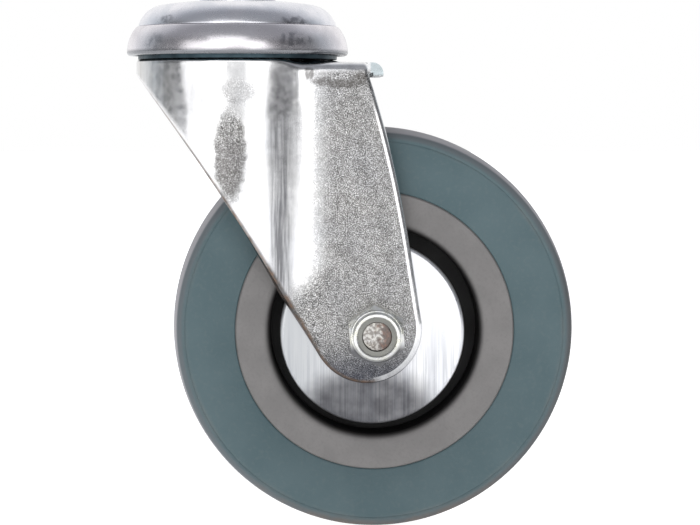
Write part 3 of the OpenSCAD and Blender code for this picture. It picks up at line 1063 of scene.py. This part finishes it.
# %% Fork: the grain's colours, and clouds over the whole plate
GRAIN_TONES = [(0.0, (0.05, 0.047, 0.045)), (0.5, (0.25, 0.246, 0.242)), (1.0, (0.95, 0.95, 0.95))]
CLOUD_TONES = [(0.3, (0.93, 0.935, 0.95)), (0.7, (1.0, 0.995, 0.985))]
OVAL_GREY = (0.17, 0.16, 0.155)
OVAL_DEEPENS_Z = (-30, -40)
fine_grain = zinc.noise(0.27, 2.0, rough=0.75)
coarse_grain = zinc.noise(1.2, 2.0)
speckle = zinc.fade(zinc.maths("MULTIPLY_ADD", coarse_grain, 0.15, fine_grain), 0.33, 0.83)
grain_tone = zinc.steps(speckle, GRAIN_TONES)
deep_oval = zinc.times(oval, zinc.fade(z, *OVAL_DEEPENS_Z), 0.45)
grain_tone = zinc.blend(deep_oval, grain_tone, OVAL_GREY)
zinc.paint(grain_tone, zinc.fade(grainy, 0, 1, 0.09, 1))
zinc.paint(zinc.steps(zinc.noise(9), CLOUD_TONES), way="MULTIPLY")

# %% [markdown]
# ## The fork's wear and painted shade
# Grey streaks run down the hollow, darker lower down, and a band of painted shade follows the front of
# the crown, which is turned away from the light. The foot below the axle is painted dark as shade. A
# little rust stains the sheared edge at the front, a few dark smears lie under the bend, and the tongue's
# top face is painted blue-grey as a painted reflection.

# %% Fork: streaks, painted shade at the front, and rubbed patches
HOLLOW_STREAK_GREY = (0.22, 0.22, 0.23)
HOLLOW_STREAK_FRONT_X, HOLLOW_STREAK_REAR_X = (6.8, 9.8), (14.8, 11.4)
HOLLOW_STREAK_FROM_Z, HOLLOW_STREAK_DARKER_Z = (-23, -34), (-42, -56)
SIDE_GREY = (0.45, 0.45, 0.46)
FRONT_SHADE_GREY = (0.33, 0.31, 0.29)
FRONT_SHADE_X, FRONT_SHADE_Y = (-12.5, -16), (8, -8)
RUBBED_TONES = [(0.36, 0.87), (0.56, 1.0)]
streaks = zinc.noise(0.8, stretch=(1, 1, 0.04), rough=0.6)
# Grey streaks painted down the hollow, darker lower down.
zinc.paint(HOLLOW_STREAK_GREY, zinc.fade(x, *HOLLOW_STREAK_FRONT_X), zinc.fade(x, *HOLLOW_STREAK_REAR_X),
           zinc.fade(z, *HOLLOW_STREAK_FROM_Z), zinc.fade(streaks, 0.3, 0.7, 0.92, 0.4),
           zinc.fade(z, *HOLLOW_STREAK_DARKER_Z, 1, 1.3))
side_marks = zinc.spot((16.0, -20, -33), (2.5, 9, 9), 0.3)
zinc.paint(SIDE_GREY, side_marks, zinc.fade(streaks, 0.35, 0.6), 0.35)
# Painted shade on the front of the crown, which is turned away from the light, broken by the streaks.
zinc.paint(FRONT_SHADE_GREY, zinc.fade(x, *FRONT_SHADE_X), zinc.fade(y, *FRONT_SHADE_Y),
           zinc.fade(streaks, 0.25, 0.75, 0.45, 0.15))
rubbed = zinc.noise(2.6, 4.0, stretch=(1, 1, 0.35), rough=0.6)
zinc.paint(zinc.steps(rubbed, RUBBED_TONES), way="MULTIPLY")

# %% Fork: painted shade on the foot, and rusty rim
FOOT_SHADE_DARK, FOOT_SHADE_LIGHT = (0.0, 0.0, 0.002), (0.085, 0.09, 0.115)
FOOT_Z = (-80, -94)
RIM_TONES = [(0.38, (0.085, 0.08, 0.076)), (0.62, (0.155, 0.10, 0.07))]
FRONT_SLOPE = 1.25
RUST_BELOW = (-38, -47)
# Painted shade: the foot below the axle is darkened to near black.
foot = zinc.times(zinc.fade(z, *FOOT_Z), zinc.fade(zinc.noise(4), 0.2, 0.6, 0.7, 1),
                  zinc.fade(rear_band, 0, 1, 0.92, 0.62))
zinc.paint(zinc.blend(speckle, FOOT_SHADE_DARK, FOOT_SHADE_LIGHT), foot)
lower_front = zinc.fade(zinc.maths("MULTIPLY_ADD", x, FRONT_SLOPE, z), *RUST_BELOW)
front_rim = zinc.times(zinc.fade(near_rim, 0.45, 0.85), zinc.fade(x, *reversed(REAR_BAND_X)), lower_front)
rusty = zinc.fade(zinc.noise(2.5, 4.0), 0.40, 0.60, 0.80, 0.95)
zinc.paint(zinc.steps(zinc.noise(1.5, 4.0), RIM_TONES), front_rim, rusty)

# %% Fork: smears under the bend, and a painted reflection on the top face
SMEARS = [((17.6, -22, -19.2), (1.2, 6, 2.0)), ((20.5, -20, -21.0), (3.0, 6, 1.2)),
          ((25.5, -20, -21.6), (4.6, 6, 1.2)), ((30.0, -20, -20.4), (2.0, 6, 1.8))]
SMEAR_BROWN = (0.085, 0.078, 0.073)
TOP_FACE_REFLECTION_GREY = (0.50, 0.56, 0.58)
TOP_FACE_Z, TOP_FACE_X = (-20, -19), (32.2, 33)
smear = 0.0
for centre, size in SMEARS:
    smear = zinc.maths("MAXIMUM", smear, zinc.spot(centre, size, 0.12))
broken = zinc.fade(zinc.noise(0.9, 5.0, rough=0.65), 0.25, 0.60, 0.25, 1)
zinc.paint(SMEAR_BROWN, smear, broken, 0.75)
# Painted reflection: the tongue's top face is painted blue-grey.
zinc.paint(TOP_FACE_REFLECTION_GREY, zinc.fade(z, *TOP_FACE_Z), zinc.fade(x, *TOP_FACE_X))

# %% Fork: relief and gloss
GRAIN_DEPTH, DRAW_LINE_DEPTH, WAVE_DEPTH = 0.02, 0.012, 0.05
SMOOTH_ROUGHNESS, GRAIN_ROUGHNESS = 0.17, 0.38
draw_lines = zinc.noise(0.7, 2.0, stretch=(1, 1, 0.03))
draw_place = zinc.times(zinc.fade(x, 8, 11), zinc.fade(x, 23, 17))
grain_height = zinc.maths("MULTIPLY_ADD", coarse_grain, 0.5, fine_grain)
zinc.relief(zinc.times(grain_height, zinc.fade(grainy, 0, 1, 0.1, 1)), GRAIN_DEPTH)
zinc.relief(zinc.times(draw_lines, draw_place), DRAW_LINE_DEPTH)
zinc.relief(zinc.noise(6, 2.0), WAVE_DEPTH)
zinc.complete(zinc.maths("ADD", zinc.fade(grainy, 0, 1, SMOOTH_ROUGHNESS, GRAIN_ROUGHNESS),
                         zinc.fade(zinc.noise(2.2), 0.3, 0.7, -0.02, 0.05)))
zinc.give_to(fork)
print("fork finish:", len(zinc.tree.nodes), "nodes")

# %% [markdown]
# ## The head's plating
# The cap and the ring are plated too, and polished by handling. They carry a faint lilac and pink
# tint, soft cloudy marks and a few darker stains, with very fine pits that sparkle. The ring's lower
# edge is painted darker, as painted shade on its underside.

# %% Cap, ring and sleeve finishes
PIT_TONE = (0.55, 0.55, 0.57)
STAIN_TONE = (0.30, 0.30, 0.33)
UNDERSIDE_SHADE_TONE = (0.10, 0.11, 0.12)


def head_zinc(name, light, dark, stains, underside_shade_from=None):
    """Polished plating, with its stains given as (centre, half sizes, strength), and painted shade below
    a given height.
    """
    finish = Finish(name, light, Metallic=1.0)
    cloudy = finish.noise(7, 4.0, rough=0.6)
    pits = finish.noise(0.5, 2.0)
    finish.paint(dark, finish.fade(cloudy, 0.32, 0.68))
    finish.paint(PIT_TONE, finish.fade(pits, 0.58, 0.75, 0, 0.35))
    for centre, size, strength in stains:
        broken = finish.fade(finish.noise(1.6, 4.0), 0.35, 0.6)
        finish.paint(STAIN_TONE, finish.spot(centre, size, 0.3), broken, strength)
    # Painted shade on the ring's underside, darker below a given height.
    if underside_shade_from is not None:
        finish.paint(UNDERSIDE_SHADE_TONE, finish.fade(finish.xyz()[2], underside_shade_from, underside_shade_from - 1.1), 0.85)
    finish.relief(pits, 0.008)
    finish.relief(finish.noise(5, 2.0), 0.02)
    return finish.complete(finish.maths("ADD", finish.fade(cloudy, 0.3, 0.7, 0.20, 0.30),
                                        finish.fade(pits, 0.5, 0.8, 0, 0.08)))


cap_stains = [((-17, -18, -5.8), (2.5, 3, 1.2), 0.7), ((14.5, -20, -6.4), (4, 4, 0.9), 0.8)]
ring_stains = [((14.5, -23, -11), (5, 5, 1.8), 0.75), ((-19.5, -19, -11.5), (3, 4, 2.4), 0.5)]
head_zinc("cap_zinc_plate", (0.86, 0.85, 0.89), (0.74, 0.75, 0.80), cap_stains).give_to(cap)
ring_zinc = head_zinc("ring_zinc_plate", (0.84, 0.81, 0.84), (0.72, 0.69, 0.72), ring_stains, SHADE_RING_TOP)
ring_zinc.give_to(ring, sleeve)

# %% [markdown]
# ## Bright sheet, nut and bolt
# The thread guards are rolled bright sheet, so their brushing runs straight up and down; a painted sheen
# lightens them towards the right, and their lower part is painted much darker. The nut and the bolt have
# a yellower plating with painted shade on their lower part, and the cut end of the bolt, where the
# plating is thin, has rusted.

# %% Guard finish
SHEET_SHADED, SHEET_LIT = (0.47, 0.48, 0.49), (0.78, 0.78, 0.79)
SCRATCH_GREY = (0.30, 0.31, 0.34)
BROAD_LINE_TINT = (0.88, 0.89, 0.91)
LOW_PATCH_DARK, LOW_PATCH_LIGHT = (0.005, 0.005, 0.007), (0.07, 0.068, 0.08)
SHEEN_X = (12, 44)
SCRATCHED_Z = (-78, -92)
bright = Finish("guard_bright_sheet", SHEET_SHADED, Metallic=1.0)
x, y, z = bright.xyz()
lines = bright.noise(0.36, stretch=(1, 1, 0.015), rough=0.6)
broad_lines = bright.noise(3.0, 2.0, stretch=(1, 1, 0.05))
# Painted sheen: the guard grows lighter towards the right.
bright.paint(SHEET_LIT, bright.fade(x, *SHEEN_X))
scratched = bright.times(bright.fade(lines, 0.56, 0.40), bright.fade(z, *SCRATCHED_Z, 0.15, 1))
bright.paint(SCRATCH_GREY, scratched, 0.45)
bright.paint(BROAD_LINE_TINT, bright.fade(broad_lines, 0.4, 0.65, 0, 0.8), way="MULTIPLY")
# The lower part is painted much darker and made a little rougher.
dark_low_patch = bright.times(bright.spot((32, -18, -101.5), (18, 12, 12), 0.05),
                    bright.fade(bright.noise(5), 0.3, 0.7, 0.85, 1))
bright.paint(bright.blend(lines, LOW_PATCH_DARK, LOW_PATCH_LIGHT), dark_low_patch, 0.9)
bright.relief(lines, 0.006)
bright.complete(bright.maths("ADD", bright.fade(lines, 0.3, 0.7, 0.27, 0.38), bright.times(dark_low_patch, 0.1)))
bright.give_to(bpy.data.objects["near_disc"], bpy.data.objects["far_disc"])

# %% Nut and bolt finishes
PLATING_TONES = [(0.3, (0.70, 0.69, 0.60)), (0.5, (0.82, 0.82, 0.78)), (0.7, (0.90, 0.90, 0.90))]
RUST_TONES = [(0.35, (0.10, 0.035, 0.022)), (0.65, (0.34, 0.17, 0.12))]
MOTTLE_BROWN = (0.12, 0.11, 0.105)
FILM_BROWN = (0.22, 0.19, 0.17)
LOW_SIDE_SHADE = (0.075, 0.075, 0.085)
LOW_SIDE_Z = (-82.5, -85.8)
RUST_SHARE = 0.95


def rust_the_end(finish, roughness, grain):
    """Rust, mottle and a dull film on the bolt's cut end. Returns the new roughness and grain."""
    x, y, z = finish.xyz()
    at_end = finish.fade(y, 1.2 - BOLT_END, 0.6 - BOLT_END)
    edge = finish.maths("MULTIPLY_ADD", finish.noise(1.5, 4.0), 9, x)
    one_side = finish.fade(edge, AXLE.x / MM + 4.3, AXLE.x / MM + 6.2)
    rust = finish.times(at_end, one_side, RUST_SHARE)
    finish.paint(finish.steps(finish.noise(0.6, 4.0), RUST_TONES), rust)
    finish.paint(MOTTLE_BROWN, at_end, finish.fade(finish.noise(0.8), 0.42, 0.58), 0.75)
    finish.paint(FILM_BROWN, at_end, 0.45)
    finish.feed(finish.shader, {"Metallic": finish.fade(rust, 0, 1, 1.0, 0.2)})
    rougher = finish.maths("ADD", roughness, finish.times(rust, 0.35))
    return rougher, finish.maths("ADD", grain, finish.times(finish.noise(0.7), at_end))


def fastener_zinc(name, rusty_end=False):
    """Yellowish plating, with painted shade on its lower part."""
    finish = Finish(name, Metallic=1.0)
    cloudy = finish.noise(1.8, 4.0)
    finish.tone = finish.steps(cloudy, PLATING_TONES)
    shaded_low_side = finish.fade(finish.xyz()[2], *LOW_SIDE_Z)
    # Painted shade on the lower part, below the axle.
    finish.paint(LOW_SIDE_SHADE, shaded_low_side, finish.fade(finish.from_axle(), 5.6, 6.2, 0.35, 0.92))
    roughness = finish.fade(cloudy, 0.3, 0.7, 0.24, 0.36)
    grain = finish.noise(0.3, 2.0)
    if rusty_end:
        roughness, grain = rust_the_end(finish, roughness, grain)
    finish.relief(grain, 0.08)
    return finish.complete(roughness)


fastener_zinc("nut_zinc_plate").give_to(nut)
fastener_zinc("bolt_zinc_plate", rusty_end=True).give_to(bolt)

# %% [markdown]
# ## Rubber and plastics
# The tyre is a matte blue-grey rubber. Its tread band is painted lighter all round, its shoulder has
# painted shade low down at the rear, and dust gathers along the moulding line. The centre is warm grey
# moulded plastic; its lip is painted darker and the recess inside it near black, both as painted shade.
# The nut's insert and the bearing's nylon have plain dull finishes with a little mottling of their own.

# %% Tyre finish
RUBBER_DARK, RUBBER_LIGHT = (0.072, 0.117, 0.130), (0.092, 0.138, 0.151)
RUBBER_BLOOM = (0.125, 0.16, 0.168)
SHOULDER_GREY = (0.125, 0.135, 0.145)
TREAD_GREY = (0.36, 0.35, 0.37)
SHOULDER_SHADE_BLACK = (0.055, 0.056, 0.056)
DUST_GREY = (0.19, 0.185, 0.175)
DIRT_BROWN = (0.17, 0.135, 0.11)
TREAD_FROM_R = (48.4, 49)
EDGE_R = (47, 48.8)
rubber = Finish("tyre_rubber", RUBBER_DARK, Specular_IOR_Level=0.35)
x, y, z = rubber.xyz()
radius = rubber.from_axle()
grain = rubber.noise(0.9)
broad = rubber.noise(14)
rubber.paint(RUBBER_LIGHT, rubber.fade(broad, 0.3, 0.7))
rubber.paint(RUBBER_BLOOM, rubber.fade(grain, 0.5, 0.72, 0, 0.25))
shoulder = rubber.fade(radius, MOULD_LINE_R + 0.2, MOULD_LINE_R + 1.4)
rubber.paint(SHOULDER_GREY, shoulder, 0.75)
rubber.paint(TREAD_GREY, rubber.fade(radius, *TREAD_FROM_R), 0.9)
lower_rear = rubber.fade(rubber.maths("SUBTRACT", x, z), 125, 160)
on_side = rubber.fade(y, -9.5, -TREAD_HALF)
# Painted shade: the shoulder is darker low down at the rear.
rubber.paint(SHOULDER_SHADE_BLACK, rubber.fade(radius, *EDGE_R), lower_rear, on_side, 0.75)
dusty_line = rubber.times(rubber.fade(radius, MOULD_LINE_R - 1.1, MOULD_LINE_R),
                          rubber.fade(radius, MOULD_LINE_R + 0.9, MOULD_LINE_R))
rubber.paint(DUST_GREY, dusty_line, rubber.fade(rubber.noise(12, 4.0), 0.35, 0.75), 0.3)
dirt = rubber.times(rubber.fade(z, -112, -130), rubber.fade(radius, 46, 49))
rubber.paint(DIRT_BROWN, dirt, rubber.fade(rubber.noise(4, 4.0), 0.35, 0.65), 0.5)
rubber.relief(grain, 0.05)
rubber.complete(rubber.fade(broad, 0.3, 0.7, 0.58, 0.72)).give_to(tyre)


# %% Plastic finishes
LIP_SHADE_BLACK = (0.012, 0.011, 0.011)
PLASTIC_GRAIN_DEPTH = 0.03


def moulded(name, light, dark, low_rough, high_rough, grain_size=0.7, shaded_lip=False):
    """Mottled plastic, with painted shade darkening the lip round the wheel's recess where that is
    wanted.
    """
    finish = Finish(name, dark, Specular_IOR_Level=0.4)
    broad = finish.noise(8)
    grain = finish.noise(grain_size)
    finish.paint(light, finish.fade(broad, 0.3, 0.7))
    finish.paint(tuple(c * 0.7 for c in dark), finish.fade(grain, 0.45, 0.75, 0, 0.22))
    if shaded_lip:
        # Painted shade: the lip darkens towards the recess.
        lip = finish.fade(finish.from_axle(), RECESS_R + 1.6, RECESS_R + 0.2, 0, 0.95)
        finish.paint(LIP_SHADE_BLACK, lip)
    finish.relief(grain, PLASTIC_GRAIN_DEPTH)
    return finish.complete(finish.fade(broad, 0.3, 0.7, low_rough, high_rough))


grey_plastic = moulded("centre_plastic", (0.200, 0.192, 0.188), (0.170, 0.163, 0.160), 0.38, 0.5,
                       shaded_lip=True)
# Near-black finish for the recess walls: painted shade for the deep recess.
recess_shade_black = moulded("recess_shade_finish", (0.006, 0.005, 0.005), (0.003, 0.003, 0.003), 0.55, 0.66)
insert_plastic = moulded("insert_plastic", (0.27, 0.27, 0.245), (0.19, 0.19, 0.175), 0.4, 0.55, 0.5)
nylon = moulded("bearing_nylon", (0.80, 0.77, 0.68), (0.70, 0.66, 0.56), 0.35, 0.45)
cad = frame["nodes"]
grey_plastic.give_to(wheel_centre)
# The faces inside the recess get the near-black painted shade.
wheel_centre.data.materials.append(recess_shade_black.material)
for face in wheel_centre.data.polygons:
    offset = face.center - AXLE
    face.material_index = int(math.hypot(offset.x, offset.z) < (RECESS_R + 0.25) * MM)
insert_plastic.give_to(cad["nut_insert"])
nylon.give_to(cad["thrust_washers"], cad["roller_cage"])


# %% Bearing steel
def bearing_steel(name, light, dark, size, rough):
    """Steel with a thin film of oil, from polished to greasy. The near-black one is painted shade for the
    gap under the ring.
    """
    finish = Finish(name, dark, Metallic=1.0)
    fine = finish.noise(size)
    finish.paint(light, finish.fade(finish.noise(4), 0.3, 0.7))
    finish.relief(fine, 0.02)
    return finish.complete(finish.fade(fine, 0.3, 0.7, rough, rough + 0.12))


ground_steel = bearing_steel("ground_steel", (0.78, 0.79, 0.81), (0.62, 0.63, 0.65), 0.5, 0.14)
race_steel = bearing_steel("race_steel", (0.50, 0.52, 0.55), (0.28, 0.27, 0.26), 0.9, 0.28)
# Near-black steel for the ring in the gap under the skirt: painted shade.
gap_shade_steel = bearing_steel("gap_shade_dark_steel", (0.055, 0.085, 0.10), (0.03, 0.045, 0.055), 0.9, 0.35)
for name in ("upper_balls", "lower_balls", "axle_tube", "bearing_shell", "rollers"):
    ground_steel.give_to(cad[name])
race_steel.give_to(cad["upper_race"], cad["lower_race"])
gap_shade_steel.give_to(gap_shade_ring)
print("finishes:", len(bpy.data.materials))

# %% [markdown]
# ## Studio
# Plated steel looks like whatever stands round it, so the studio is a white backdrop behind the
# castor, a darker room round the camera, two tall softboxes beside the camera and one above it.
# The dark gaps between them draw the dark lines down the crown and along the hollow.

# %% World
ROUND_STOPS = [
    (-1.0, (0.92, 0.92, 0.92)), (-0.88, (0.88, 0.88, 0.89)), (-0.79, (0.18, 0.18, 0.19)),
    (-0.55, (0.13, 0.13, 0.14)), (-0.05, (0.19, 0.20, 0.21)), (0.30, (0.46, 0.50, 0.54)),
    (0.62, (0.92, 0.94, 0.96)), (0.80, (1.0, 1.0, 1.0))]
SKY_STOPS = [
    (-1.0, (0.34, 0.35, 0.37)), (-0.1, (0.30, 0.31, 0.34)), (0.25, (0.62, 0.64, 0.68)),
    (0.6, (1.0, 1.0, 1.0))]
SKY_SHARE_STOPS = [(0.42, (0, 0, 0)), (0.62, (1, 1, 1))]
world = bpy.data.worlds.new("studio")
bpy.context.scene.world = world
world.use_nodes = True
sky = Nodes(world.node_tree)
direction = sky.add("SeparateXYZ", {0: sky.add("TexCoord", {}, "Generated")}).node.outputs


def ramp_along(axis, stops):
    """Colours along one axis of the direction, whose coordinates go from -1 to 1."""
    share = sky.add("MapRange", {"Value": direction[axis], "From_Min": -1})
    return sky.steps(share, [((place + 1) / 2, colour) for place, colour in stops])


tones = sky.blend(ramp_along("Z", SKY_SHARE_STOPS), ramp_along("Y", ROUND_STOPS),
                  ramp_along("Y", SKY_STOPS))
sky.feed(world.node_tree.nodes["Background"], {"Color": tones})

# %% Softboxes
TARGET = Vector((0.015, 0, -0.055))
LIGHT_AWAY = 0.75


def softbox(name, turn, rise, width, height, radiance):
    """A soft light round the target: turn from the camera's side to the right, rise above level."""
    turn, rise = math.radians(turn), math.radians(rise)
    back = Vector((math.sin(turn) * math.cos(rise), -math.cos(turn) * math.cos(rise), math.sin(rise)))
    data = bpy.data.lights.new(name, "AREA")
    data.shape = "RECTANGLE"
    data.size, data.size_y = width, height
    data.energy = radiance * math.pi * width * height
    light = into_scene(name, data)
    light.location = TARGET + back * LIGHT_AWAY
    light.rotation_euler = back.to_track_quat("Z", "Y").to_euler()
    light.visible_camera = False


softbox("softbox_left", -35, 0, 0.62, 0.8, 1.05)
softbox("softbox_right", 20, 0, 0.27, 0.8, 1.05)
softbox("softbox_above_camera", -11, 30, 0.46, 0.32, 0.95)

# %% Floor
FLOOR_SIZE = 8
FLOOR_GLOW = 0.8
deselect_all()
bpy.ops.mesh.primitive_plane_add(size=FLOOR_SIZE, location=(0, 0, cad_bounds[0].z))
floor = bpy.context.object
floor.name = "floor"
set_origin(floor)
pale = Finish("pale_floor", (0.92, 0.92, 0.92), Roughness=0.9, Specular_IOR_Level=0.1,
              Emission_Color=(1, 1, 1, 1), Emission_Strength=FLOOR_GLOW)
pale.paint((0.94, 0.94, 0.94), pale.noise(400))
pale.feed(pale.shader, {"Base_Color": pale.tone})
pale.give_to(floor)
bpy.context.scene.view_settings.view_transform = "Standard"
